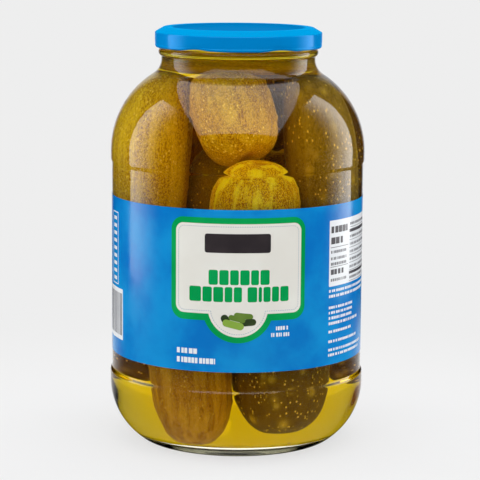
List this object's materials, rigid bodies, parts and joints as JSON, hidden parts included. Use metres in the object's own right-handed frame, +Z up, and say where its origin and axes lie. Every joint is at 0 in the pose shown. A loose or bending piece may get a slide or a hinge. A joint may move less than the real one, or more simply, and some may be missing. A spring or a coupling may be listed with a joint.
{
  "type": "pickle jar",
  "caption": "Wide round glass jar of whole pickled cucumbers in yellow brine, with a blue paper label round its waist and a shallow blue twist-off lid.",
  "frame": {"origin": "centre of the ring that the jar stands on, in the plane of the surface below it", "axes": "+Z up along the jar's axis of revolution; -Y faces the label's printed front, and the label's glued lap is at +Y"},
  "size_m": [0.1292, 0.1292, 0.2101],
  "materials": {
    "glass": "clear flint glass, polished",
    "brine": "clear yellow liquid",
    "label": "coated label paper, blue ground with a satin varnish",
    "lid": "blue lacquered tinplate, glossy"
  },
  "bodies": {
    "root": {"glass_jar": "glass", "brine": "brine", "label": "label", "lid": "lid"}
  },
  "joints": []
}
